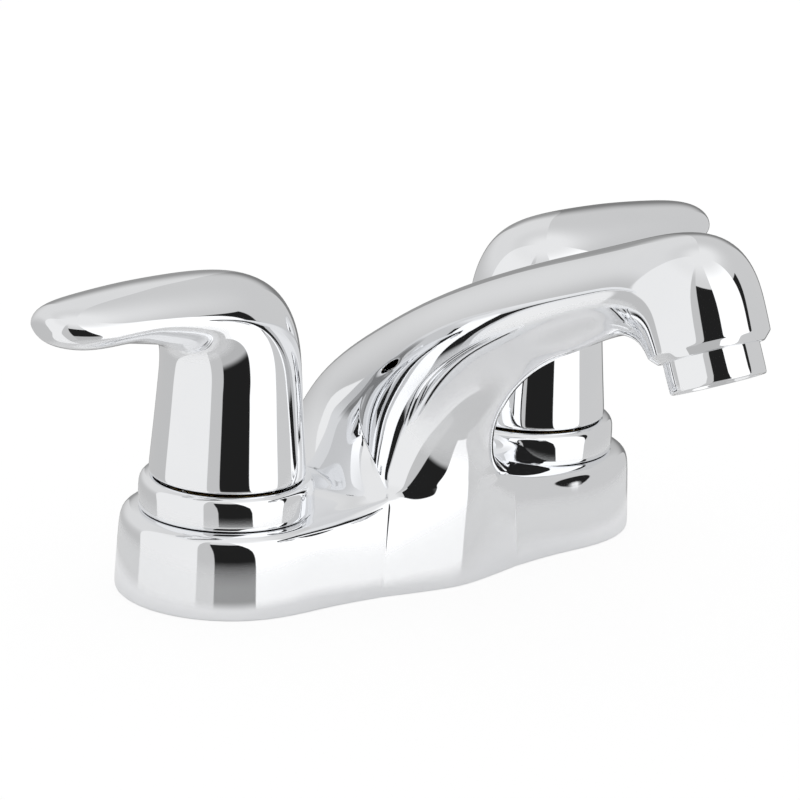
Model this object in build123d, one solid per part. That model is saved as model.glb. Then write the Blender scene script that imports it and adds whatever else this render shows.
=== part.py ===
from build123d import *
import math
import os

# Centerset faucet: x runs along the base, the spout points to -y, z is up.
# The origin is the middle of the base's underside, which lies on the sink.

# Base
handle_spacing = 101.6
base_end_radius = 28.0
base_height = 21.4
base_draft = 3.0
base_top_round = 3.6
shell_wall = 2.6

# Spout, as sections from foot to nose: crest point, belly point (y, z) and half width
spout_sections = [
    ((24.5, 0.0), (-34.5, 0.0), 37.4),
    ((24.6, 14.0), (-34.3, 14.0), 37.0),
    ((24.8, 21.5), (-34.3, 20.5), 33.0),
    ((24.4, 29.0), (-34.4, 26.0), 28.0),
    ((22.2, 38.0), (-34.8, 32.0), 22.6),
    ((17.0, 47.8), (-36.2, 39.0), 18.8),
    ((8.0, 56.0), (-40.0, 46.5), 17.0),
    ((-3.0, 63.3), (-46.0, 54.5), 16.2),
    ((-17.4, 72.2), (-53.0, 61.2), 15.6),
    ((-35.0, 81.5), (-61.5, 66.6), 14.9),
    ((-56.0, 90.8), (-70.6, 71.4), 14.3),
    ((-75.0, 98.0), (-78.6, 76.4), 14.0),
    ((-90.5, 104.0), (-86.0, 79.8), 14.0),
    ((-103.0, 108.6), (-92.4, 81.4), 14.2),
    ((-114.0, 110.4), (-97.4, 80.9), 14.4),
    ((-122.8, 106.4), (-101.2, 79.7), 14.5),
    ((-127.6, 99.2), (-103.2, 78.9), 14.6),
]
spout_squareness = 2.1
hollow_section_count = 13
nose_radius = 14.7
nose_tilt = 25.0
nose_centre = (-117.3, 84.9)

# Outlet, with depths along the nose's axis
aerator_radius = 11.7
aerator_drop = 9.6
aerator_thread_radius = 10.8
aerator_thread_length = 7.0
aerator_bore_radius = 9.4
aerator_lip_width = 0.8
aerator_lip_height = 1.0
strainer_height = 6.0
strainer_hole_radius = 0.8
strainer_ring_step = 2.7
strainer_ring_count = 3
aerator_washer_height = 1.5
aerator_washer_width = 3.5

# Collars
collar_radius = 22.3
collar_height = 8.7
collar_top_round = 2.4
collar_hollow_wall = 2.4
collar_hollow_height = 6.0

# Handles, with the lever's sections from its root to its tip:
# reach from the turning axis, top and underside above the skirt, half width
skirt_foot_radius = 19.9
skirt_top_radius = 17.7
skirt_above_stem = 2.0
dome_height = 20.8
handle_wall = 2.2
socket_radius = 7.5
socket_below_spline = 1.0
lever_sections = [
    (-7.0, 15.5, 4.0, 8.0),
    (3.0, 19.4, 3.0, 13.0),
    (14.0, 21.0, 4.2, 15.0),
    (26.0, 21.4, 7.0, 14.2),
    (38.0, 21.1, 9.2, 13.0),
    (48.6, 20.3, 10.8, 11.6),
    (55.0, 18.9, 12.0, 8.8),
    (58.4, 17.1, 13.8, 4.2),
]
lever_squareness = 2.6
set_screw_radius = 2.5
set_screw_length = 6.0
set_screw_socket_radius = 1.4
set_screw_socket_depth = 3.0
set_screw_below_stem_top = 6.0
access_hole_radius = 3.2

# Valve pots, cross tube and shanks, one casting
pot_radius = 13.5
pot_bore_radius = 11.1
pot_floor_height = 12.0
pot_top_height = 33.0
port_radius = 2.0
port_offset = 4.8
cross_tube_radius = 5.5
cross_tube_height = 9.6
shank_radius = 10.45
shank_bore_radius = 7.0
shank_length = 48.0
supply_end_radius = 10.3
supply_end_length = 16.5
shank_bore_top_height = 5.0
base_plate_thickness = 2.5
tube_boss_radius = 8.0
tube_boss_height = 19.0

# Cartridges
cartridge_wall = 1.7
flange_height = 5.0
flange_radius = 12.6
neck_radius = 7.6
neck_height = 8.0
disc_thickness = 3.0
channel_depth = 1.6
channel_width = 4.6
channel_length = 14.0
key_length = 12.0
key_width = 3.0
key_height = 1.2
seat_seal_height = 2.0
stem_radius = 4.0
stem_foot_height = 3.0
stem_above_pot = 27.0
stem_seal_width = 1.4
stem_seal_height = 2.0
stem_seal_height_above_flange = 3.0
spline_length = 11.0
spline_depth = 0.5
spline_count = 12

# Spout tube, with its bends as points (y, z) in the middle plane
tube_radius = 4.2
tube_wall = 1.0
tube_bends = [(-4.8, 40.0), (-36.0, 66.5)]
tube_bend_radii = [26.0, 30.0, 7.0]
tube_nose_corner_depth = 17.2
tube_seal_width = 1.3
tube_seal_height = 1.8

# Nuts and washers under a sink deck
sink_deck_thickness = 20.0
washer_thickness = 1.6
washer_radius = 16.5
nut_height = 9.0
nut_radius = 15.0
nut_wing_count = 4
nut_wing_length = 8.0
nut_wing_width = 5.0

# Clearances
running_gap = 0.05
thread_gap = 0.1
piece_gap = 0.3
handle_gap = 0.4
cut_over = 1.0
quarter_steps = 4

half_spacing = handle_spacing / 2
sides = {"left": -1, "right": 1}
collar_top_height = base_height + collar_height
handle_foot_height = collar_top_height + handle_gap
supply_end_top = supply_end_length - shank_length
seal_top_height = pot_floor_height + seat_seal_height
fixed_disc_top_height = seal_top_height + disc_thickness
moving_disc_top_height = fixed_disc_top_height + disc_thickness
stem_foot_top_height = moving_disc_top_height + stem_foot_height
cartridge_radius = pot_bore_radius - thread_gap
cartridge_cavity_radius = cartridge_radius - cartridge_wall
disc_radius = cartridge_cavity_radius - piece_gap
flange_top_height = pot_top_height + flange_height
neck_top_height = flange_top_height + neck_height
stem_top_height = pot_top_height + stem_above_pot
spline_start_height = stem_top_height - spline_length
set_screw_height = stem_top_height - set_screw_below_stem_top
socket_start_height = spline_start_height - socket_below_spline
skirt_top_height = stem_top_height + skirt_above_stem
handle_top_height = skirt_top_height + dome_height
stem_seal_start_height = flange_top_height + stem_seal_height_above_flange
nose_bore_radius = aerator_thread_radius + thread_gap
nose_bore_depth = aerator_thread_length + aerator_washer_height
nose_down = (-math.sin(math.radians(nose_tilt)), -math.cos(math.radians(nose_tilt)))


# Shapes that several pieces share

def round_bar(x, y, radius, bottom, top):
    height = top - bottom
    return Pos(x, y, bottom + height / 2) * Cylinder(radius, height)


def round_ring(x, y, outer_radius, inner_radius, bottom, top):
    hole = round_bar(x, y, inner_radius, bottom - cut_over, top + cut_over)
    return round_bar(x, y, outer_radius, bottom, top) - hole


def nose_plane(drop):
    """The plane across the nose's axis, this far below its rim."""
    centre = (0, nose_centre[0] + drop * nose_down[0], nose_centre[1] + drop * nose_down[1])
    return Plane(centre, x_dir=(1, 0, 0), z_dir=(0, nose_down[0], nose_down[1]))


def nose_bar(radius, start_drop, end_drop):
    length = end_drop - start_drop
    return nose_plane(start_drop) * Pos(0, 0, length / 2) * Cylinder(radius, length)


def nose_ring(outer_radius, inner_radius, start_drop, end_drop):
    hole = nose_bar(inner_radius, start_drop - cut_over, end_drop + cut_over)
    return nose_bar(outer_radius, start_drop, end_drop) - hole


def oval(plane, half_width, half_height, squareness):
    """A rounded section as four smooth quarters that meet on the plane's axes."""
    quarters = []
    for quarter in range(4):
        points = []
        for step in range(quarter_steps + 1):
            angle = math.pi / 2 * (quarter + step / quarter_steps)
            across = math.copysign(abs(math.cos(angle)) ** (2 / squareness), math.cos(angle))
            along = math.copysign(abs(math.sin(angle)) ** (2 / squareness), math.sin(angle))
            points.append(plane.from_local_coords((half_width * across, half_height * along, 0)))
        headings = []
        for angle in (math.pi / 2 * quarter, math.pi / 2 * (quarter + 1)):
            headings.append(plane.x_dir * -math.sin(angle) + plane.y_dir * math.cos(angle))
        quarters.append(Edge.make_spline(points, tangents=headings))
    return Wire(quarters)


# Spout body: base, bulged front, flanks, arm and nose in one hollow casting

def spout_section(crest, belly, half_width, inset):
    """The section between a crest point and a belly point, drawn in by an inset."""
    top = Vector(0, *crest)
    low = Vector(0, *belly)
    across = Vector(1, 0, 0)
    plane = Plane((top + low) / 2, x_dir=across, z_dir=across.cross((top - low).normalized()))
    half_height = (top - low).length / 2
    return oval(plane, half_width - inset, half_height - inset, spout_squareness)


def spout_outside():
    sections = [spout_section(*section, 0) for section in spout_sections]
    sections.append(oval(nose_plane(0), nose_radius, nose_radius, 2))
    return Solid.make_loft(sections)


def spout_inside():
    crest, belly, half_width = spout_sections[0]
    foot = ((crest[0], -cut_over), (belly[0], -cut_over), half_width)
    hollow = [foot] + spout_sections[:hollow_section_count]
    return Solid.make_loft([spout_section(*section, shell_wall) for section in hollow])


def base_block(inset, bottom, top):
    """The long rounded base, drawn in by an inset, with its sloping wall."""
    slope = math.tan(math.radians(base_draft))
    outline = SlotCenterToCenter(handle_spacing, 2 * (base_end_radius - inset - bottom * slope))
    return Pos(0, 0, bottom) * extrude(outline, top - bottom, taper=base_draft)


def spout_body():
    base = base_block(0, 0, base_height)
    base = fillet(base.faces().sort_by(Axis.Z)[-1].edges(), base_top_round)
    body = base + spout_outside()
    body -= base_block(shell_wall, -cut_over, base_height - shell_wall)
    body -= spout_inside()
    for side in sides.values():
        x = side * half_spacing
        body -= round_bar(x, 0, pot_radius + piece_gap, 0, base_height + cut_over)
        body -= round_bar(x, 0, collar_radius + piece_gap, base_height, collar_top_height)
    body -= nose_bar(nose_bore_radius, -nose_bore_depth, cut_over)
    body -= tube_bar(tube_radius + piece_gap)
    body -= nose_bar(*tube_seal_groove())
    return body


# Waterway

def tube_path():
    """The tube's line from the boss in the underbody, round three bends, into the nose."""
    start = (0, -port_offset, cross_tube_height + cross_tube_radius - tube_wall)
    corner = nose_plane(-tube_nose_corner_depth).origin
    end = nose_plane(-nose_bore_depth).origin
    middle = [(0, y, z) for y, z in tube_bends]
    return FilletPolyline(start, *middle, corner, end, radius=tube_bend_radii)


def tube_bar(radius):
    path = tube_path()
    profile = Plane(path @ 0, z_dir=path % 0) * Circle(radius)
    return sweep(profile, path)


def tube_seal_groove():
    groove_radius = tube_radius + running_gap + tube_seal_width + running_gap
    groove_top = -nose_bore_depth - tube_seal_height - running_gap
    return groove_radius, groove_top, -nose_bore_depth + running_gap


def spout_tube():
    return tube_bar(tube_radius) - tube_bar(tube_radius - tube_wall)


def tube_seals():
    boss_seal = round_ring(
        0, -port_offset, tube_radius + running_gap + tube_seal_width, tube_radius + running_gap,
        tube_boss_height - tube_seal_height, tube_boss_height,
    )
    nose_seal = nose_ring(
        tube_radius + running_gap + tube_seal_width, tube_radius + running_gap,
        -nose_bore_depth - tube_seal_height, -nose_bore_depth,
    )
    return Compound([boss_seal.solid(), nose_seal.solid()])


def underbody():
    """The brass casting: two pots on a cross tube, a boss for the tube and two shanks."""
    tube_y = -port_offset
    boss_seat = cross_tube_height + cross_tube_radius - tube_wall
    cross = Pos(0, tube_y, cross_tube_height) * Rot(0, 90, 0) * Cylinder(cross_tube_radius, handle_spacing)
    body = cross + round_bar(0, tube_y, tube_boss_radius, base_plate_thickness, tube_boss_height)
    for side in sides.values():
        x = side * half_spacing
        body += round_bar(x, 0, pot_radius, base_plate_thickness, pot_top_height)
        body += round_bar(x, 0, shank_radius, supply_end_top, base_plate_thickness)
        body += round_bar(x, 0, supply_end_radius, -shank_length, supply_end_top)
    for side in sides.values():
        x = side * half_spacing
        body -= round_bar(x, 0, pot_bore_radius, pot_floor_height, pot_top_height + cut_over)
        body -= round_bar(x, 0, shank_bore_radius, -shank_length - cut_over, shank_bore_top_height)
        body -= round_bar(x, port_offset, port_radius, 0, pot_floor_height + cut_over)
        body -= round_bar(x, tube_y, port_radius, cross_tube_height, pot_floor_height + cut_over)
    bore = Cylinder(port_radius, handle_spacing)
    body -= Pos(0, tube_y, cross_tube_height) * Rot(0, 90, 0) * bore
    body -= round_bar(0, tube_y, port_radius, cross_tube_height, tube_boss_height)
    body -= round_bar(0, tube_y, tube_radius + running_gap, boss_seat, tube_boss_height + cut_over)
    seal_radius = tube_radius + running_gap + tube_seal_width + running_gap
    seal_bottom = tube_boss_height - tube_seal_height
    body -= round_bar(0, tube_y, seal_radius, seal_bottom, tube_boss_height + cut_over)
    return body


def base_plate():
    radius = base_end_radius - shell_wall - piece_gap
    plate = extrude(SlotCenterToCenter(handle_spacing, 2 * radius), base_plate_thickness)
    for side in sides.values():
        hole_radius = shank_radius + piece_gap
        plate -= round_bar(
            side * half_spacing, 0, hole_radius, -cut_over, base_plate_thickness + cut_over
        )
    return plate


# One valve, from its seat up to its stem

def port_pair(x, bottom, top):
    ports = round_bar(x, port_offset, port_radius, bottom - cut_over, top + cut_over)
    return ports + round_bar(x, -port_offset, port_radius, bottom - cut_over, top + cut_over)


def seat_seal(x):
    seal = round_bar(x, 0, cartridge_radius, pot_floor_height, seal_top_height)
    return seal - port_pair(x, pot_floor_height, seal_top_height)


def fixed_disc(x):
    disc = round_bar(x, 0, disc_radius, seal_top_height, fixed_disc_top_height)
    return disc - port_pair(x, seal_top_height, fixed_disc_top_height)


def centred_box(x, length, width, bottom, top):
    return Pos(x, 0, (bottom + top) / 2) * Box(length, width, top - bottom)


def moving_disc(x):
    """The turning disc: shut at rest, its channel joins the ports after a quarter turn."""
    disc = round_bar(x, 0, disc_radius, fixed_disc_top_height, moving_disc_top_height)
    channel_top = fixed_disc_top_height + channel_depth
    disc -= centred_box(x, channel_length, channel_width, fixed_disc_top_height, channel_top)
    key_seat = moving_disc_top_height - key_height - thread_gap
    slot_length = key_length + 2 * thread_gap
    slot_width = key_width + 2 * thread_gap
    return disc - centred_box(x, slot_length, slot_width, key_seat, moving_disc_top_height)


def stem(x):
    foot = round_bar(x, 0, disc_radius, moving_disc_top_height, stem_foot_top_height)
    key_bottom = moving_disc_top_height - key_height
    foot += centred_box(x, key_length, key_width, key_bottom, moving_disc_top_height)
    body = foot + round_bar(x, 0, stem_radius, stem_foot_top_height, stem_top_height)
    groove = round_bar(
        0, 0, spline_depth, spline_start_height, stem_top_height + cut_over
    )
    for index in range(spline_count):
        body -= Pos(x, 0) * Rot(0, 0, index * 360 / spline_count) * Pos(stem_radius, 0) * groove
    return body


def cartridge_body(x):
    """The housing over the discs, with a six-sided flange above the pot and a neck for the stem."""
    body = round_bar(x, 0, cartridge_radius, seal_top_height, pot_top_height)
    flange = extrude(RegularPolygon(flange_radius, 6), flange_height)
    body += Pos(x, 0, pot_top_height) * flange
    body += round_bar(x, 0, neck_radius, flange_top_height, neck_top_height)
    cavity_top = stem_foot_top_height + piece_gap
    body -= round_bar(x, 0, cartridge_cavity_radius, seal_top_height - cut_over, cavity_top)
    body -= round_bar(x, 0, stem_radius + running_gap, seal_top_height, neck_top_height + cut_over)
    groove_radius = stem_radius + running_gap + stem_seal_width + running_gap
    groove_top = stem_seal_start_height + stem_seal_height
    return body - round_bar(x, 0, groove_radius, stem_seal_start_height, groove_top)


def stem_seal(x):
    inner_radius = stem_radius + running_gap
    seal_top = stem_seal_start_height + stem_seal_height
    outer_radius = inner_radius + stem_seal_width
    return round_ring(x, 0, outer_radius, inner_radius, stem_seal_start_height, seal_top)


# Outside pieces of each side

def collar(x):
    ring = round_bar(0, 0, collar_radius, base_height, collar_top_height)
    top_edge = ring.faces().sort_by(Axis.Z)[-1].edges()
    ring = fillet(top_edge, collar_top_round)
    inner_radius = pot_radius + thread_gap
    ring -= round_bar(0, 0, inner_radius, base_height - cut_over, collar_top_height + cut_over)
    hollow = round_ring(
        0, 0, collar_radius - collar_hollow_wall, inner_radius + collar_hollow_wall,
        base_height - cut_over, base_height + collar_hollow_height,
    )
    return Pos(x, 0) * (ring - hollow)


def handle_core():
    """The round skirt and its domed top, turned about the handle's axis."""
    dome_points = []
    for step in range(quarter_steps + 1):
        angle = math.pi / 2 * step / quarter_steps
        across = skirt_top_radius * math.cos(angle)
        dome_points.append((across, 0, skirt_top_height + dome_height * math.sin(angle)))
    dome_points[-1] = (0, 0, handle_top_height)
    dome = Edge.make_spline(dome_points, tangents=[(0, 0, 1), (-1, 0, 0)])
    rest = Polyline(
        (0, 0, handle_top_height), (0, 0, handle_foot_height),
        (skirt_foot_radius, 0, handle_foot_height), (skirt_top_radius, 0, skirt_top_height),
    )
    return revolve(make_face([dome] + rest.edges()), Axis.Z)


def lever():
    """The tongue of a handle, reaching along +x from the handle's axis."""
    sections = []
    for reach, top, bottom, half_width in lever_sections:
        middle = skirt_top_height + (top + bottom) / 2
        plane = Plane((reach, 0, middle), x_dir=(0, 1, 0), z_dir=(1, 0, 0))
        sections.append(oval(plane, half_width, (top - bottom) / 2, lever_squareness))
    return Solid.make_loft(sections)


def handle_hollow():
    """The cone inside the skirt, without the boss that takes the stem."""
    foot_radius = skirt_foot_radius - handle_wall
    top_radius = skirt_top_radius - handle_wall
    height = skirt_top_height - handle_foot_height
    middle = (skirt_top_height + handle_foot_height) / 2
    cone = Pos(0, 0, middle) * Cone(foot_radius, top_radius, height)
    return cone - round_bar(0, 0, socket_radius, socket_start_height, skirt_top_height)


def rear_bar(radius, start, end):
    """A bar pointing to the rear at the set screw's height."""
    return Pos(0, (start + end) / 2, set_screw_height) * Rot(90, 0, 0) * Cylinder(radius, end - start)


def handle(side):
    tongue = lever()
    if side < 0:
        tongue = tongue.rotate(Axis.Z, 180)
    body = handle_core() + tongue
    body -= handle_hollow()
    bore_radius = stem_radius + running_gap
    bore_top = stem_top_height + piece_gap
    body -= round_bar(0, 0, bore_radius, socket_start_height - cut_over, bore_top)
    body -= rear_bar(set_screw_radius + running_gap, 0, socket_radius + cut_over)
    body -= rear_bar(access_hole_radius, socket_radius, skirt_foot_radius + cut_over)
    return Pos(side * half_spacing, 0) * body


def handle_screw(side):
    start = stem_radius + running_gap
    end = start + set_screw_length
    screw = rear_bar(set_screw_radius, start, end)
    hexagon = extrude(RegularPolygon(set_screw_socket_radius, 6), set_screw_socket_depth + cut_over)
    screw -= Pos(0, end + cut_over, set_screw_height) * Rot(90, 0, 0) * hexagon
    return Pos(side * half_spacing, 0) * screw


# Under the sink deck

def washer(x):
    top = -sink_deck_thickness
    return round_ring(x, 0, washer_radius, shank_radius + piece_gap, top - washer_thickness, top)


def mounting_nut(x):
    top = -sink_deck_thickness - washer_thickness
    nut = round_bar(0, 0, nut_radius, top - nut_height, top)
    for index in range(nut_wing_count):
        wing_reach = nut_radius + nut_wing_length
        wing = Pos(wing_reach / 2, 0, top - nut_height / 2) * Box(wing_reach, nut_wing_width, nut_height)
        nut += Rot(0, 0, index * 360 / nut_wing_count) * wing
    nut -= round_bar(0, 0, shank_radius + thread_gap, top - nut_height - cut_over, top + cut_over)
    return Pos(x, 0) * nut


# Outlet

def aerator_housing():
    sleeve = nose_bar(aerator_radius, 0, aerator_drop)
    sleeve += nose_bar(aerator_thread_radius, -aerator_thread_length, 0)
    lip_start = aerator_drop - aerator_lip_height
    sleeve -= nose_bar(aerator_bore_radius, -aerator_thread_length - cut_over, lip_start)
    return sleeve - nose_bar(aerator_bore_radius - aerator_lip_width, 0, aerator_drop + cut_over)


def aerator_insert():
    """The strainer: a round body with rings of small holes."""
    end = aerator_drop - aerator_lip_height
    body = nose_bar(aerator_bore_radius - thread_gap, end - strainer_height, end)
    for ring in range(strainer_ring_count):
        hole_count = max(1, 6 * ring)
        for index in range(hole_count):
            turn = Rot(0, 0, index * 360 / hole_count)
            hole = Cylinder(strainer_hole_radius, 4 * aerator_drop)
            body -= nose_plane(0) * turn * Pos(ring * strainer_ring_step, 0) * hole
    return body


def aerator_washer():
    inner_radius = aerator_thread_radius - aerator_washer_width
    start = -aerator_thread_length - aerator_washer_height
    return nose_ring(aerator_thread_radius, inner_radius, start, -aerator_thread_length)


def all_pieces():
    pieces = {
        "spout_body": spout_body(),
        "base_plate": base_plate(),
        "underbody": underbody(),
        "spout_tube": spout_tube(),
        "spout_tube_seals": tube_seals(),
        "aerator_housing": aerator_housing(),
        "aerator_insert": aerator_insert(),
        "aerator_washer": aerator_washer(),
    }
    for name, side in sides.items():
        x = side * half_spacing
        pieces[name + "_collar"] = collar(x)
        pieces[name + "_cartridge_body"] = cartridge_body(x)
        pieces[name + "_stem"] = stem(x)
        pieces[name + "_stem_seal"] = stem_seal(x)
        pieces[name + "_moving_disc"] = moving_disc(x)
        pieces[name + "_fixed_disc"] = fixed_disc(x)
        pieces[name + "_seat_seal"] = seat_seal(x)
        pieces[name + "_handle"] = handle(side)
        pieces[name + "_handle_screw"] = handle_screw(side)
        pieces[name + "_washer"] = washer(x)
        pieces[name + "_mounting_nut"] = mounting_nut(x)
    return pieces


os.makedirs("parts", exist_ok=True)
for name, piece in all_pieces().items():
    export_step(piece, f"parts/{name}.step")
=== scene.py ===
import math

import bmesh
import bpy
from mathutils import Matrix, Vector


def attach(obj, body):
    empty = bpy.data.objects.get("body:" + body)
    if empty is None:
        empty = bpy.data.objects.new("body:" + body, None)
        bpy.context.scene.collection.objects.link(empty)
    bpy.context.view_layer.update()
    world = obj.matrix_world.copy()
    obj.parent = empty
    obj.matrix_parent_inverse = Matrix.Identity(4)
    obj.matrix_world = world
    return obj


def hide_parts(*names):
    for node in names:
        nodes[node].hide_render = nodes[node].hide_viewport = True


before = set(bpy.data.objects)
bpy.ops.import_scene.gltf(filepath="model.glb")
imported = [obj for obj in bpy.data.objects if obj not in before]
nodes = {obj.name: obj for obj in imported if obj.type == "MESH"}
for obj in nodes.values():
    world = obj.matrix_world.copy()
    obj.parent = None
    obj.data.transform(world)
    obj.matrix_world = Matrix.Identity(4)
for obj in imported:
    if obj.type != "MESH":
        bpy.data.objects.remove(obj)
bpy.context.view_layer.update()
mm = 0.001

print("stage: camera")

cameraSetup = {
    "azimuth": -40.28,      # degrees round from the front, towards the left lever
    "elevation": 16.58,
    "roll": 2.54,
    "distance": 1039.94,    # mm
    "target": (5.17, 0.0, 40.42),
    "lens": 180.0,
}


def addCamera(setup):
    azimuth, elevation, roll = (math.radians(setup[key]) for key in ("azimuth", "elevation", "roll"))
    back = Vector((math.sin(azimuth) * math.cos(elevation),
                   -math.cos(azimuth) * math.cos(elevation), math.sin(elevation)))
    right = Vector((math.cos(azimuth), math.sin(azimuth), 0))
    up = back.cross(right)
    tiltedRight = right * math.cos(roll) + up * math.sin(roll)
    tiltedUp = up * math.cos(roll) - right * math.sin(roll)
    data = bpy.data.cameras.new("photoCamera")
    data.lens = setup["lens"]
    data.sensor_width = 36
    data.sensor_height = 36
    data.clip_start = 0.05
    data.clip_end = 60
    camera = bpy.data.objects.new("photoCamera", data)
    bpy.context.scene.collection.objects.link(camera)
    spot = (Vector(setup["target"]) + back * setup["distance"]) * mm
    turn = Matrix((tiltedRight, tiltedUp, back)).transposed().to_4x4()
    camera.matrix_world = Matrix.Translation(spot) @ turn
    bpy.context.scene.camera = camera
    return camera


addCamera(cameraSetup)

print("stage: finishes")


class Wire:
    # one output socket; sums and products on it add their Math nodes
    def __init__(self, tree, socket):
        self.tree = tree
        self.socket = socket

    def maths(self, operation, *values):
        made = addNode(self.tree, "ShaderNodeMath", {"operation": operation}, dict(enumerate(values)))
        return Wire(self.tree, made.outputs[0])

    def __add__(self, other):
        return self.maths("ADD", self, other)

    def __radd__(self, other):
        return self.maths("ADD", other, self)

    def __sub__(self, other):
        return self.maths("SUBTRACT", self, other)

    def __rsub__(self, other):
        return self.maths("SUBTRACT", other, self)

    def __mul__(self, other):
        return self.maths("MULTIPLY", self, other)

    def ramp(self, low, high, start=0.0, end=1.0):
        made = addNode(self.tree, "ShaderNodeMapRange", {"interpolation_type": "SMOOTHSTEP"}, {
            "Value": self, "From Min": low, "From Max": high, "To Min": start, "To Max": end,
        })
        return Wire(self.tree, made.outputs["Result"])

    def band(self, low, high, soft):
        return self.ramp(low - soft, low + soft) * self.ramp(high - soft, high + soft, 1.0, 0.0)


def addNode(tree, kind, settings=None, values=None):
    made = tree.nodes.new(kind)
    for key, value in (settings or {}).items():
        setattr(made, key, value)
    for key, value in (values or {}).items():
        socket = made.inputs[key]
        if isinstance(value, Wire):
            tree.links.new(value.socket, socket)
        elif isinstance(value, bpy.types.NodeSocket):
            tree.links.new(value, socket)
        else:
            socket.default_value = value
    return made


def seen(tone):    # a grey as it looks on screen, turned into light
    return ((tone + 0.055) / 1.055) ** 2.4


def newMaterial(name):
    material = bpy.data.materials.new(name)
    material.use_nodes = True
    tree = material.node_tree
    tree.nodes.clear()
    output = addNode(tree, "ShaderNodeOutputMaterial")
    place = addNode(tree, "ShaderNodeTexCoord").outputs["Object"]
    return material, tree, output, place


def noise(tree, place, scale, detail):
    made = addNode(tree, "ShaderNodeTexNoise", {"noise_dimensions": "3D"},
                   {"Vector": place, "Scale": scale, "Detail": detail, "Roughness": 0.5})
    return Wire(tree, made.outputs["Factor"] if "Factor" in made.outputs else made.outputs["Fac"])


def finishMaterial(name, look):
    material, tree, output, place = newMaterial(name)
    cloudy = noise(tree, place, look["cloudScale"], 3.0)
    fine = noise(tree, place, look["fineScale"], 2.0)
    colour = addNode(tree, "ShaderNodeMix", {"data_type": "RGBA"},
                     {"Factor": cloudy.ramp(0.3, 0.7), 6: look["colour"] + (1.0,), 7: look["shade"] + (1.0,)})
    rough = cloudy.ramp(0.25, 0.75, *look["roughness"]) + (fine - 0.5) * look["fineRoughness"]
    height = cloudy * look["wave"] + fine * look["grain"]
    bump = addNode(tree, "ShaderNodeBump", None,
                   {"Strength": 1.0, "Distance": look["depth"], "Height": height})
    shader = addNode(tree, "ShaderNodeBsdfPrincipled", None, {
        "Base Color": colour.outputs[2], "Metallic": look["metallic"],
        "Roughness": rough, "Normal": bump.outputs["Normal"],
    })
    tree.links.new(shader.outputs[0], output.inputs["Surface"])
    return material


chromeLook = {
    "colour": (0.955, 0.962, 0.975), "shade": (0.935, 0.943, 0.958), "metallic": 1.0,
    "roughness": (0.018, 0.034), "fineRoughness": 0.006,
    "cloudScale": 38.0, "fineScale": 900.0, "wave": 1.0, "grain": 0.02, "depth": 0.00002,
}
brassLook = {
    "colour": (0.72, 0.50, 0.20), "shade": (0.60, 0.40, 0.15), "metallic": 1.0,
    "roughness": (0.28, 0.42), "fineRoughness": 0.08,
    "cloudScale": 60.0, "fineScale": 2600.0, "wave": 0.4, "grain": 1.0, "depth": 0.00006,
}
copperLook = {
    "colour": (0.80, 0.42, 0.26), "shade": (0.66, 0.32, 0.19), "metallic": 1.0,
    "roughness": (0.22, 0.34), "fineRoughness": 0.05,
    "cloudScale": 70.0, "fineScale": 2400.0, "wave": 0.4, "grain": 0.6, "depth": 0.00004,
}
steelLook = {
    "colour": (0.60, 0.61, 0.62), "shade": (0.50, 0.51, 0.53), "metallic": 1.0,
    "roughness": (0.24, 0.36), "fineRoughness": 0.08,
    "cloudScale": 90.0, "fineScale": 3000.0, "wave": 0.3, "grain": 0.8, "depth": 0.00004,
}
rubberLook = {
    "colour": (0.022, 0.022, 0.024), "shade": (0.035, 0.034, 0.034), "metallic": 0.0,
    "roughness": (0.62, 0.78), "fineRoughness": 0.1,
    "cloudScale": 80.0, "fineScale": 3200.0, "wave": 0.3, "grain": 1.0, "depth": 0.00005,
}
basePlasticLook = {
    "colour": (0.30, 0.31, 0.32), "shade": (0.25, 0.26, 0.27), "metallic": 0.0,
    "roughness": (0.48, 0.62), "fineRoughness": 0.1,
    "cloudScale": 45.0, "fineScale": 2600.0, "wave": 0.3, "grain": 1.0, "depth": 0.00006,
}
strainerPlasticLook = {
    "colour": (0.78, 0.79, 0.80), "shade": (0.70, 0.71, 0.72), "metallic": 0.0,
    "roughness": (0.34, 0.46), "fineRoughness": 0.06,
    "cloudScale": 60.0, "fineScale": 3200.0, "wave": 0.2, "grain": 0.8, "depth": 0.00003,
}
nutPlasticLook = {
    "colour": (0.86, 0.86, 0.84), "shade": (0.78, 0.78, 0.75), "metallic": 0.0,
    "roughness": (0.42, 0.56), "fineRoughness": 0.08,
    "cloudScale": 40.0, "fineScale": 2400.0, "wave": 0.3, "grain": 1.0, "depth": 0.00005,
}
ceramicLook = {
    "colour": (0.88, 0.86, 0.80), "shade": (0.82, 0.80, 0.74), "metallic": 0.0,
    "roughness": (0.12, 0.20), "fineRoughness": 0.04,
    "cloudScale": 120.0, "fineScale": 4000.0, "wave": 0.2, "grain": 0.5, "depth": 0.00001,
}
chrome = finishMaterial("polishedChrome", chromeLook)
brass = finishMaterial("castBrass", brassLook)
copper = finishMaterial("drawnCopper", copperLook)
steel = finishMaterial("plainSteel", steelLook)
rubber = finishMaterial("blackRubber", rubberLook)
basePlastic = finishMaterial("greyPlatePlastic", basePlasticLook)
strainerPlastic = finishMaterial("paleStrainerPlastic", strainerPlasticLook)
nutPlastic = finishMaterial("whiteNutPlastic", nutPlasticLook)
ceramic = finishMaterial("discCeramic", ceramicLook)

print("stage: studio")

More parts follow.
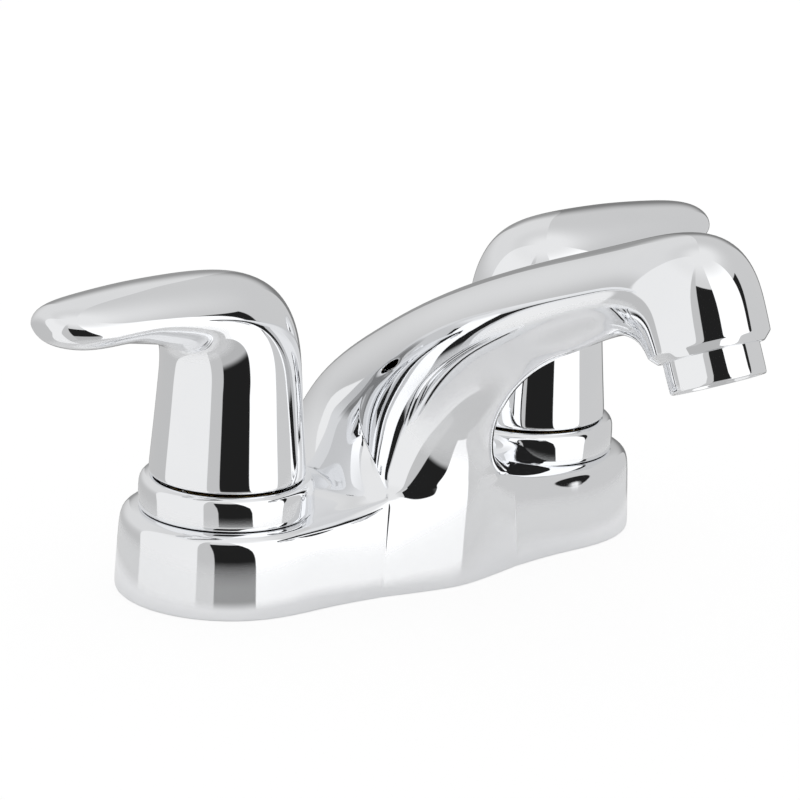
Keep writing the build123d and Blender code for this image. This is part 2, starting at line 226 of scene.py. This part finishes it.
studio = {
    "cameraTurn": 130.28,    # degrees from world azimuth to the angle right of the camera
    "edgesGivenAt": 16,      # degrees below the horizon
    # left edge and its slant, right edge and its slant, bottom and its softness, top and its softness, grey
    # as it looks on screen; the edges are angles right of the camera
    "panels": [
        (-181, 0, -99, 0, -91, 0.6, 62, 22, 0.76),
        (-181, 0, -99, 0, 6, 16, 62, 22, 0.87),
        (-99, 0, -26, 0, -91, 0.6, 60, 20, 0.94),
        (-26, 0, -7, -0.16, -60, 0.6, 55, 12, 0.77),
        (37, -0.33, 81.5, 0, -55, 0.6, 60, 16, 1.05),
        (81.5, 0, 181, 0, -60, 0.6, 55, 20, 0.8),
        (158, 0, 181, 0, -40, 8, 14, 10, 0.5),
        (-181, 0, -166, 0, -40, 8, 14, 10, 0.6),
        (-7, -0.16, 37, -0.33, -23, 4, 39, 0.6, 0.13),
        (81.5, 0, 77.6, 0.35, -5, 0.6, 39, 0.6, 0.13),
    ],
    "panelEdge": 0.6,        # degrees
    "overhead": (40, 75, 0.84, 0.92),    # starts, ends, grey below and grey above
    "ground": (-30, 0, 0.86),            # starts, ends, grey below
    "ambient": 0.92,         # plain light on what isn't a mirror
}


def buildWorld(setup):
    world = bpy.data.worlds.new("studio")
    bpy.context.scene.world = world
    world.use_nodes = True
    tree = world.node_tree
    tree.nodes.clear()
    output = addNode(tree, "ShaderNodeOutputWorld")
    heading = addNode(tree, "ShaderNodeTexCoord").outputs["Generated"]
    parts = addNode(tree, "ShaderNodeSeparateXYZ", None, {0: heading})
    x, y, z = (Wire(tree, socket) for socket in parts.outputs)
    across = y.maths("ARCTAN2", y, x) * math.degrees(1) + setup["cameraTurn"]
    across = across.maths("WRAP", across, 180.0, -180.0)
    height = z.maths("ARCSINE", z) * math.degrees(1)
    edge = setup["panelEdge"]
    low, high, tone, topTone = setup["overhead"]
    light = height.ramp(low, high, seen(tone), seen(topTone))
    low, high, tone = setup["ground"]
    light = light * height.ramp(low, high, seen(tone), 1.0)
    above = height + setup["edgesGivenAt"]
    for left, leftSlant, right, rightSlant, low, lowEdge, high, highEdge, tone in setup["panels"]:
        mask = across.band(left + above * leftSlant, right + above * rightSlant, edge)
        mask = mask * height.ramp(low - lowEdge, low + lowEdge)
        mask = mask * height.ramp(high - highEdge, high + highEdge, 1.0, 0.0)
        light = light * (1 - mask) + mask * seen(tone)
    paths = addNode(tree, "ShaderNodeLightPath")
    camera = Wire(tree, paths.outputs["Is Camera Ray"])
    shiny = Wire(tree, paths.outputs["Is Glossy Ray"])
    light = light * shiny + (1 - shiny) * setup["ambient"]
    light = light * (1 - camera) + camera
    colour = addNode(tree, "ShaderNodeCombineColor", None, {0: light, 1: light, 2: light})
    background = addNode(tree, "ShaderNodeBackground", None, {"Color": colour.outputs[0], "Strength": 1.0})
    tree.links.new(background.outputs[0], output.inputs["Surface"])


buildWorld(studio)

floorSetup = {
    "size": 6.0,             # metres
    "segments": 8,
    "tone": 0.95,
    "glow": 0.85,            # share of plain light in what the camera sees
    "light": 1.03,
    "halfLength": 0.0508,    # metres, of the line that the base's ends are round
    # how far from that line the pieces mirror the floor: where each step starts and ends, and its share
    "mirrored": [(0.036, 0.050, 0.6), (0.060, 0.108, 0.4)],
}


def buildFloor(setup):
    bm = bmesh.new()
    bmesh.ops.create_grid(bm, x_segments=setup["segments"], y_segments=setup["segments"], size=setup["size"] / 2)
    mesh = bpy.data.meshes.new("studioFloor")
    bm.to_mesh(mesh)
    bm.free()
    floor = bpy.data.objects.new("studioFloor", mesh)
    bpy.context.scene.collection.objects.link(floor)
    material, tree, output, place = newMaterial("paleFloor")
    paper = addNode(tree, "ShaderNodeBsdfDiffuse", None, {"Color": (setup["tone"],) * 3 + (1.0,)})
    glow = addNode(tree, "ShaderNodeEmission", None, {"Color": (1.0, 1.0, 1.0, 1.0), "Strength": setup["light"]})
    paths = addNode(tree, "ShaderNodeLightPath")
    camera = Wire(tree, paths.outputs["Is Camera Ray"])
    shiny = Wire(tree, paths.outputs["Is Glossy Ray"])
    mixed = addNode(tree, "ShaderNodeMixShader", None,
                    {0: camera * setup["glow"], 1: paper.outputs[0], 2: glow.outputs[0]})
    parts = addNode(tree, "ShaderNodeSeparateXYZ", None, {0: place})
    x, y, z = (Wire(tree, socket) for socket in parts.outputs)
    past = x.maths("MAXIMUM", x.maths("ABSOLUTE", x) - setup["halfLength"], 0.0)
    away = x.maths("SQRT", past * past + y * y)
    below = Wire(tree, addNode(tree, "ShaderNodeNewGeometry").outputs["Backfacing"])
    share = 0.0
    for start, end, part in setup["mirrored"]:
        share = away.ramp(start, end, part, 0.0) + share
    openness = shiny * (1 - share)
    clear = addNode(tree, "ShaderNodeBsdfTransparent", None, {"Color": (1.0, 1.0, 1.0, 1.0)})
    whole = addNode(tree, "ShaderNodeMixShader", None,
                    {0: below.maths("MAXIMUM", below, openness), 1: mixed.outputs[0], 2: clear.outputs[0]})
    tree.links.new(whole.outputs[0], output.inputs["Surface"])
    mesh.materials.append(material)


buildFloor(floorSetup)

print("stage: mesh helpers")


def openLoop(bm, points):
    # a closed loop of vertices laid on the given points
    bmesh.ops.create_circle(bm, cap_ends=False, segments=len(points), radius=1.0)
    loop = list(bm.verts)
    for vert, point in zip(loop, points):
        vert.co = Vector(point) * mm
    return loop


def loopEdges(bm, loop):
    return [bm.edges.get((vert, loop[(index + 1) % len(loop)])) for index, vert in enumerate(loop)]


def growLoop(bm, loop, points):
    # pulls the loop's edges out into a new ring of faces
    grown = bmesh.ops.extrude_edge_only(bm, edges=loopEdges(bm, loop))
    fresh = {item for item in grown["geom"] if isinstance(item, bmesh.types.BMVert)}
    nextLoop = []
    for vert, point in zip(loop, points):
        twin = next(edge.other_vert(vert) for edge in vert.link_edges if edge.other_vert(vert) in fresh)
        twin.co = Vector(point) * mm
        nextLoop.append(twin)
    return nextLoop


def closeLoop(bm, loop):
    bmesh.ops.contextual_create(bm, geom=loopEdges(bm, loop))


def closeFlat(bm, loop, first):
    # closes a flattened end with a ladder of faces across its thin side
    count = len(loop)
    for step in range(count // 2):
        a, b = loop[(first + step) % count], loop[(first + step + 1) % count]
        c, d = loop[(first - step - 1) % count], loop[(first - step) % count]
        corners = []
        for vert in (a, b, c, d):
            if vert not in corners:
                corners.append(vert)
        if len(corners) > 2:
            bm.faces.new(corners)


def makePiece(name, bm, material, body, levels, replaced=()):
    bmesh.ops.recalc_face_normals(bm, faces=bm.faces)
    mesh = bpy.data.meshes.new(name)
    bm.to_mesh(mesh)
    bm.free()
    mesh.polygons.foreach_set("use_smooth", [True] * len(mesh.polygons))
    mesh.materials.append(material)
    piece = bpy.data.objects.new(name, mesh)
    bpy.context.scene.collection.objects.link(piece)
    if levels:
        smoother = piece.modifiers.new("smooth", "SUBSURF")
        smoother.levels = smoother.render_levels = levels
    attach(piece, body)
    if replaced:
        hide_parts(*replaced)
    return piece


print("stage: spout body")

bodyShape = {
    "halfSpacing": 50.8,
    "endRadius": 28.35,
    "draft": 0.0524,
    # rows of the base: height, inset, belly height
    "baseRows": [
        (0.0, 0.5, 0.0),
        (0.5, 0.0, 0.5),
        (7.0, 0.37, 7.0),
        (13.0, 0.68, 14.0),
        (17.6, 0.92, 19.4),
        (20.2, 1.5, 22.6),
        (21.4, 3.6, 24.6),
        (21.4, 6.4, 25.8),
    ],
    "crease": [(22.5, -29.5), (22.45, -29.45), (22.3, -29.2), (22.0, -28.9), (21.6, -28.6),
               (21.1, -28.2), (20.7, -27.8), (20.3, -27.3)],
    "creaseRise": [0.0, 0.5, 7.0, 13.4, 18.6, 22.0, 23.9, 25.0],
    "bellyFront": [-33.5, -33.5, -33.8, -34.1, -34.4, -34.5, -34.5, -34.5],
    "scoop": [(20.0, 4.6), (22.5, 3.6), (25.4, 2.6), (31.0, 1.2), (37.5, 0.2), (44.0, 0.0)],
    "ridge": [0.32, 0.32, 0.32, 0.32, 0.34, 0.38, 0.5, 0.6],
    "apronSteps": [0, 0.1, 0.2, 0.3, 0.4, 0.5, 0.6, 0.7, 0.8, 0.89, 0.95, 0.985, 1.0],
    "wallBlend": 2.2,        # how soon the wall leaves the crease for the straight front
    "groove": [0.08, 0.08, 0.08, 0.08, 0.08, 0.08, 0.06, 0.03],    # depth of the line down each crease
    "wallSteps": [0.012, 0.05, 0.16, 0.34, 0.56, 0.78, 1.0],
    "arcSteps": 10,
    "backSteps": 5,
    "hollow": (0.965, 0.9, 3.0),    # width, depth and height of the hollow in the foot
    "shoulderSteps": (0.25, 0.5, 0.75),
    "steepestFlare": 89.0,
    "wingSteps": [0.006, 0.02, 0.07, 0.13, 0.19, 0.25, 0.31],
    # rings of the spout: belly (y, z), crease (x, y, z), turn, wing (x, y, z), wing share, flare, crest (y, z),
    # lower power, squareness
    "rings": [
        ((-34.5, 29.0), (19.2, -25.0, 26.4), 52, (28.2, 0.0, 22.0), 0.45, 12, (25.4, 22.4), 1.0, 2.15),
        ((-34.6, 31.4), (18.5, -22.1, 28.3), 63, (27.0, 0.0, 25.0), 0.42, 25, (25.0, 26.5), 1.0, 2.15),
        ((-34.9, 34.9), (17.8, -17.9, 32.0), 78, (24.4, 0.5, 30.4), 0.36, 40, (24.2, 32.0), 0.95, 2.15),
        ((-35.8, 38.8), (17.4, -13.0, 37.4), 86, (21.0, 1.0, 37.0), 0.24, 58, (21.6, 39.2), 0.88, 2.15),
        ((-38.2, 43.6), (17.2, -9.5, 43.6), 88, (17.8, 0.0, 44.4), 0.12, 78, (16.6, 47.4), 0.92, 2.15),
        ((-41.8, 49.0), (16.7, -12.5, 50.4), 90, (16.8, -10.0, 50.8), 0.03, 88, (7.8, 55.6), 1.0, 2.15),
        ((-46.9, 55.2), (16.2, -22.0, 57.4), 90, (16.2, -22.0, 57.4), 0.0, 90, (-3.2, 63.2), 1.15, 2.15),
        ((-54.0, 61.8), (15.7, -34.5, 65.3), 90, (15.7, -34.5, 65.3), 0.0, 90, (-17.4, 72.3), 1.15, 2.15),
        ((-62.4, 67.3), (15.0, -48.0, 73.2), 90, (15.0, -48.0, 73.2), 0.0, 90, (-35.0, 81.5), 1.15, 2.15),
        ((-71.6, 71.9), (14.5, -63.4, 80.6), 90, (14.5, -63.4, 80.6), 0.0, 90, (-56.2, 91.0), 1.15, 2.15),
        ((-79.4, 76.2), (14.2, -76.6, 86.6), 90, (14.2, -76.6, 86.6), 0.0, 90, (-75.2, 98.2), 1.15, 2.15),
        ((-85.4, 79.0), (14.2, -87.0, 91.0), 90, (14.2, -87.0, 91.0), 0.0, 90, (-90.0, 104.0), 1.1, 2.1),
        ((-89.6, 80.6), (14.3, -94.2, 94.1), 90, (14.3, -94.2, 94.1), 0.0, 90, (-99.0, 107.6), 1.05, 2.1),
        ((-93.0, 81.2), (14.4, -100.2, 96.0), 90, (14.4, -100.2, 96.0), 0.0, 90, (-107.0, 110.0), 1.0, 2.08),
        ((-96.0, 81.1), (14.6, -105.4, 96.8), 90, (14.6, -105.4, 96.8), 0.0, 90, (-114.0, 110.6), 1.0, 2.06),
        ((-98.6, 80.6), (14.7, -109.6, 96.4), 90, (14.7, -109.6, 96.4), 0.0, 90, (-119.6, 108.8), 1.0, 2.04),
        ((-100.6, 80.0), (14.8, -113.2, 93.7), 90, (14.8, -113.2, 93.7), 0.0, 90, (-123.8, 105.2), 1.0, 2.02),
        ((-102.0, 79.5), (14.8, -114.8, 90.3), 90, (14.8, -114.8, 90.3), 0.0, 90, (-126.9, 100.6), 1.0, 2.0),
        ((-103.0, 79.2), (14.8, -116.1, 87.5), 90, (14.8, -116.1, 87.5), 0.0, 90, (-129.0, 95.6), 1.0, 2.0),
    ],
    "noseCentre": (-117.3, 84.9),
    "noseTilt": 25.0,
    # rim and bore: radius and depth along the nose's axis
    "rim": [(14.85, -0.45), (14.8, -0.12), (14.62, 0.12), (13.1, 1.75), (12.88, 1.9), (12.6, 1.92),
            (12.3, 1.75), (12.15, 1.3), (12.1, -6.0)],
}


def scoopRise(shape, x):
    places = shape["scoop"]
    if x <= places[0][0]:
        return places[0][1]
    for (x0, z0), (x1, z1) in zip(places, places[1:]):
        if x <= x1:
            return z0 + (z1 - z0) * (x - x0) / (x1 - x0)
    return 0.0


def apronRow(steps, belly, crease, ridge):
    # nearly straight sides that meet in a rounded ridge at the middle of the front
    full = math.sqrt(1 + ridge ** 2) - ridge
    points = []
    for step in steps:
        along = (math.sqrt(step ** 2 + ridge ** 2) - ridge) / full
        points.append((
            crease[0] * step,
            belly[0] + (crease[1] - belly[0]) * along,
            belly[1] + (crease[2] - belly[1]) * along,
        ))
    return points


def apronPoints(steps, belly, crease, turn, power):
    # an arc from the middle of the front to the crease
    angle = math.radians(turn)
    points = []
    for step in steps:
        out = math.sin(angle * step) / math.sin(angle)
        along = (1 - math.cos(angle * step)) / (1 - math.cos(angle))
        points.append((
            crease[0] * out ** power,
            belly[0] + (crease[1] - belly[0]) * along,
            belly[1] + (crease[2] - belly[1]) * along,
        ))
    return points


def baseRow(shape, index):
    height, inset, bellyHeight = shape["baseRows"][index]
    creaseX, creaseY = shape["crease"][index]
    radius = shape["endRadius"] - inset
    centre = shape["halfSpacing"]
    crease = (creaseX, creaseY, shape["creaseRise"][index])
    belly = (shape["bellyFront"][index], bellyHeight)
    points = apronRow(shape["apronSteps"], belly, crease, shape["ridge"][index])
    points[-1] = (creaseX, creaseY + shape["groove"][index], crease[2])
    for step in shape["wallSteps"]:
        x = creaseX + (centre - creaseX) * step
        y = creaseY + (-radius - creaseY) * min(1.0, step * shape["wallBlend"])
        rise = (crease[2] - height) * scoopRise(shape, x) / scoopRise(shape, creaseX)
        points.append((x, y, height + rise))
    for step in range(1, shape["arcSteps"] + 1):
        angle = math.radians(-90 + 180 * step / shape["arcSteps"])
        points.append((centre + radius * math.cos(angle), radius * math.sin(angle), height))
    for step in range(1, shape["backSteps"] + 1):
        points.append((centre * (1 - step / shape["backSteps"]), radius, height))
    return points


def spoutRing(shape, ring):
    belly, crease, turn, wing, share, flare, crest, power, squareness = ring
    points = apronPoints(shape["apronSteps"], belly, crease, turn, power)
    steps = list(shape["wingSteps"])
    rest = shape["arcSteps"] + shape["backSteps"]
    start = steps[-1]
    steps += [start + (1 - start) * (step + 1) / rest for step in range(rest)]
    bend = 2 / squareness
    outward = math.tan(math.radians(min(flare, shape["steepestFlare"]))) * (wing[0] - crease[0])
    corner = (wing[0], min(crease[1] + outward, (crease[1] + wing[1]) / 2), (crease[2] + wing[2]) / 2)
    for step in steps:
        if step < share:
            done = step / share
            points.append(tuple(a * (1 - done) ** 2 + b * 2 * done * (1 - done) + c * done ** 2
                                for a, b, c in zip(crease, corner, wing)))
        else:
            angle = math.pi / 2 * (step - share) / (1 - share)
            side = max(0.0, math.cos(angle)) ** bend
            along = math.sin(angle) ** bend
            points.append((
                wing[0] * side,
                wing[1] + (crest[0] - wing[1]) * along,
                wing[2] + (crest[1] - wing[2]) * along,
            ))
    return points


def mirrored(half):
    return half + [(-x, y, z) for x, y, z in reversed(half[1:-1])]


def buildSpoutBody(shape):
    bm = bmesh.new()
    rows = [baseRow(shape, index) for index in range(len(shape["baseRows"]))]
    rings = [spoutRing(shape, ring) for ring in shape["rings"]]
    width, depth, hollowTop = shape["hollow"]
    inside = [(x * width, y * depth, z) for x, y, z in rows[0]]
    rows = [[(x, y, hollowTop) for x, y, z in inside], inside] + rows
    last, first = rows[-1], rings[0]
    apron = len(shape["apronSteps"])
    for share in shape["shoulderSteps"]:
        between = []
        for index, (low, high) in enumerate(zip(last, first)):
            point = [low[axis] + (high[axis] - low[axis]) * share for axis in range(3)]
            if index >= apron:
                point[2] = low[2] + (high[2] - low[2]) * share ** 2
            between.append(tuple(point))
        rows.append(between)
    rows += rings
    # the rim's columns keep the turns that the last ring has
    angles = ringAngles(shape, rings[-1])
    for radius, depth in shape["rim"]:
        rows.append(noseLoop(shape, angles, radius, depth))
    loop = openLoop(bm, mirrored(rows[0]))
    closeLoop(bm, loop)
    for row in rows[1:]:
        loop = growLoop(bm, loop, mirrored(row))
    closeLoop(bm, loop)
    return makePiece("spoutShell", bm, chrome, "base", 2, ["spout_body"])


def ringAngles(shape, ring):
    tilt = math.radians(shape["noseTilt"])
    y0, z0 = shape["noseCentre"]
    angles = []
    for x, y, z in ring:
        forward = -(y - y0) * math.cos(tilt) + (z - z0) * math.sin(tilt)
        angles.append(math.atan2(x, -forward))
    angles[0] = 0.0
    angles[-1] = math.pi
    return angles


def noseLoop(shape, angles, radius, depth):
    tilt = math.radians(shape["noseTilt"])
    y0, z0 = shape["noseCentre"]
    points = []
    for angle in angles:
        forward = -radius * math.cos(angle)
        points.append((
            radius * math.sin(angle),
            y0 - forward * math.cos(tilt) - depth * math.sin(tilt),
            z0 + forward * math.sin(tilt) - depth * math.cos(tilt),
        ))
    return points


buildSpoutBody(bodyShape)

print("stage: outlet sleeve")

sleeveShape = {
    "centre": (0.0, -117.3, 84.9),
    "tilt": 25.0,
    # radius and depth below the rim
    "profile": [(10.6, -7.0), (10.6, 0.6), (11.3, 0.8), (11.7, 1.1), (11.7, 1.5), (11.7, 8.9), (11.55, 9.35),
                (11.2, 9.6), (10.7, 9.55), (10.5, 9.2), (10.2, 8.7), (9.6, 8.55), (9.4, 8.3), (9.4, -7.0)],
    "steps": 96,
}


def buildSleeve(shape):
    bm = bmesh.new()
    verts = [bm.verts.new((radius * mm, 0, -depth * mm)) for radius, depth in shape["profile"]]
    for a, b in zip(verts, verts[1:] + verts[:1]):
        bm.edges.new((a, b))
    bmesh.ops.spin(bm, geom=list(bm.verts) + list(bm.edges), cent=(0, 0, 0), axis=(0, 0, 1),
                   angle=math.tau, steps=shape["steps"], use_merge=True)
    bmesh.ops.remove_doubles(bm, verts=bm.verts, dist=1e-7)
    turn = Matrix.Rotation(math.radians(-shape["tilt"]), 4, "X")
    bm.transform(Matrix.Translation(Vector(shape["centre"]) * mm) @ turn)
    return makePiece("outletSleeve", bm, chrome, "base", 1, ["aerator_housing"])


buildSleeve(sleeveShape)

print("stage: collars")

collarShape = {
    "centre": 50.8,
    "profile": [(16.0, 21.6), (21.6, 21.5), (22.25, 21.65), (22.35, 22.3), (22.35, 27.2), (22.2, 28.6),
                (21.5, 29.7), (20.3, 30.1), (15.0, 30.1), (14.3, 29.9), (14.1, 29.2), (14.1, 21.7)],
    "steps": 96,
}


def buildCollar(name, side, node, body):
    bm = bmesh.new()
    verts = [bm.verts.new((radius * mm, 0, height * mm)) for radius, height in collarShape["profile"]]
    for a, b in zip(verts, verts[1:] + verts[:1]):
        bm.edges.new((a, b))
    bmesh.ops.spin(bm, geom=list(bm.verts) + list(bm.edges), cent=(0, 0, 0), axis=(0, 0, 1),
                   angle=math.tau, steps=collarShape["steps"], use_merge=True)
    bmesh.ops.remove_doubles(bm, verts=bm.verts, dist=1e-7)
    bm.transform(Matrix.Translation((side * collarShape["centre"] * mm, 0, 0)))
    return makePiece(name, bm, chrome, body, 1, [node])


buildCollar("leftRing", -1, "left_collar", "base")
buildCollar("rightRing", 1, "right_collar", "base")

print("stage: levers")

leverShape = {
    "centre": 50.8,
    "columns": 40,
    # rings from inside the skirt to the tip: back or top point (reach, z), front or lower point (reach, z),
    # half width, side sharpness
    "rings": [
        ((-15.6, 58.0), (15.6, 58.0), 15.6, 0.0),
        ((-15.65, 57.2), (15.65, 57.2), 15.65, 0.0),
        ((-15.85, 54.0), (15.85, 54.0), 15.85, 0.0),
        ((-16.1, 50.8), (16.1, 50.8), 16.1, 0.0),
        ((-17.4, 31.6), (17.4, 31.6), 17.4, 0.0),
        ((-17.9, 30.6), (17.9, 30.6), 17.9, 0.0),
        ((-19.4, 30.5), (19.4, 30.5), 19.4, 0.0),
        ((-19.9, 30.7), (19.9, 30.7), 19.9, 0.0),
        ((-19.95, 31.6), (19.95, 31.6), 19.95, 0.0),
        ((-19.6, 36.0), (19.6, 36.0), 19.6, 0.0),
        ((-19.0, 43.0), (19.0, 43.0), 19.0, 0.0),
        ((-18.42, 50.8), (18.42, 50.8), 18.42, 0.0),
        ((-18.2, 54.0), (18.2, 53.9), 18.2, 0.0),
        ((-17.95, 57.2), (18.0, 56.8), 17.95, 0.0),
        ((-17.6, 61.5), (17.9, 59.6), 17.8, 0.0),
        ((-16.7, 67.2), (18.2, 62.8), 17.5, 0.02),
        ((-14.8, 72.5), (19.2, 65.0), 17.2, 0.06),
        ((-11.6, 77.2), (21.0, 66.5), 16.9, 0.1),
        ((-7.2, 80.4), (23.6, 67.7), 16.5, 0.15),
        ((-1.4, 82.4), (26.7, 68.2), 16.1, 0.2),
        ((5.4, 83.2), (30.1, 68.8), 15.6, 0.22),
        ((12.8, 83.5), (33.6, 69.4), 15.1, 0.24),
        ((20.6, 83.5), (37.2, 70.0), 14.6, 0.24),
        ((28.2, 83.4), (40.2, 69.9), 14.2, 0.24),
        ((35.4, 83.0), (43.2, 69.7), 13.7, 0.22),
        ((42.0, 82.5), (46.2, 69.7), 13.1, 0.18),
        ((47.4, 82.0), (49.4, 70.0), 12.1, 0.12),
        ((51.9, 81.4), (52.6, 70.7), 10.3, 0.08),
        ((55.5, 80.4), (55.5, 71.8), 7.7, 0.04),
        ((57.7, 78.8), (57.6, 73.6), 4.6, 0.0),
    ],
    "screwHeight": 54.0,
    "screwHole": 3.4,
    # rings below, at and above the hole: on the inner wall, then on the outer
    "holeRings": [(3, 2, 1), (11, 12, 13)],
}


def leverRing(shape, ring, side):
    top, low, halfWidth, sharp = ring
    half = shape["columns"] // 2
    points = []
    for step in range(half + 1):
        angle = math.pi * step / half
        along = -math.cos(angle)
        along = math.copysign(abs(along) ** (1 + sharp), along)
        reach = (top[0] + low[0]) / 2 + (top[0] - low[0]) / 2 * along
        height = (top[1] + low[1]) / 2 + (top[1] - low[1]) / 2 * along
        points.append((halfWidth * math.sin(angle), reach, height))
    loop = points + [(-x, y, z) for x, y, z in reversed(points[1:-1])]
    return [(side * (shape["centre"] + reach), across, height) for across, reach, height in loop]


def cutScrewHole(bm, shape, side, loops):
    # opens the back of the skirt for the set screw
    rims = []
    back = shape["columns"] // 2
    for rows in shape["holeRings"]:
        low, middle, high = (loops[row][back - 1:back + 2] for row in rows)
        rim = [middle[0], high[0], high[1], high[2], middle[2], low[2], low[1], low[0]]
        radius = abs(middle[1].co.x / mm - side * shape["centre"])
        for index, vert in enumerate(rim):
            angle = math.tau * index / len(rim)
            across = shape["screwHole"] * math.cos(angle)
            height = shape["screwHeight"] + shape["screwHole"] * math.sin(angle)
            reach = -math.sqrt(radius ** 2 - across ** 2)
            vert.co = Vector((side * (shape["centre"] + reach), across, height)) * mm
        bmesh.ops.delete(bm, geom=[middle[1]], context="VERTS")
        rims.append(rim)
    inner, outer = rims
    for index in range(len(inner)):
        after = (index + 1) % len(inner)
        bm.faces.new((outer[index], outer[after], inner[after], inner[index]))


def buildLever(name, side, body, node):
    bm = bmesh.new()
    rings = [leverRing(leverShape, ring, side) for ring in leverShape["rings"]]
    loops = [openLoop(bm, rings[0])]
    closeLoop(bm, loops[0])
    for ring in rings[1:]:
        loops.append(growLoop(bm, loops[-1], ring))
    closeFlat(bm, loops[-1], leverShape["columns"] // 4)
    cutScrewHole(bm, leverShape, side, loops)
    return makePiece(name, bm, chrome, body, 2, [node])


buildLever("leftLeverShell", -1, "left_lever", "left_handle")
buildLever("rightLeverShell", 1, "right_lever", "right_handle")

print("stage: inner pieces")

innerFinishes = {
    "underbody": brass, "base_plate": basePlastic, "spout_tube": copper, "spout_tube_seals": rubber,
    "aerator_insert": strainerPlastic, "aerator_washer": rubber,
}
sideFinishes = {
    "cartridge_body": brass, "stem": brass, "stem_seal": rubber, "moving_disc": ceramic,
    "fixed_disc": ceramic, "seat_seal": rubber, "handle_screw": steel, "washer": steel,
    "mounting_nut": nutPlastic,
}
for side in ("left", "right"):
    for part, finish in sideFinishes.items():
        innerFinishes[f"{side}_{part}"] = finish
for node, finish in innerFinishes.items():
    mesh = nodes[node].data
    mesh.materials.clear()
    mesh.materials.append(finish)

bpy.context.scene.view_settings.view_transform = "Standard"
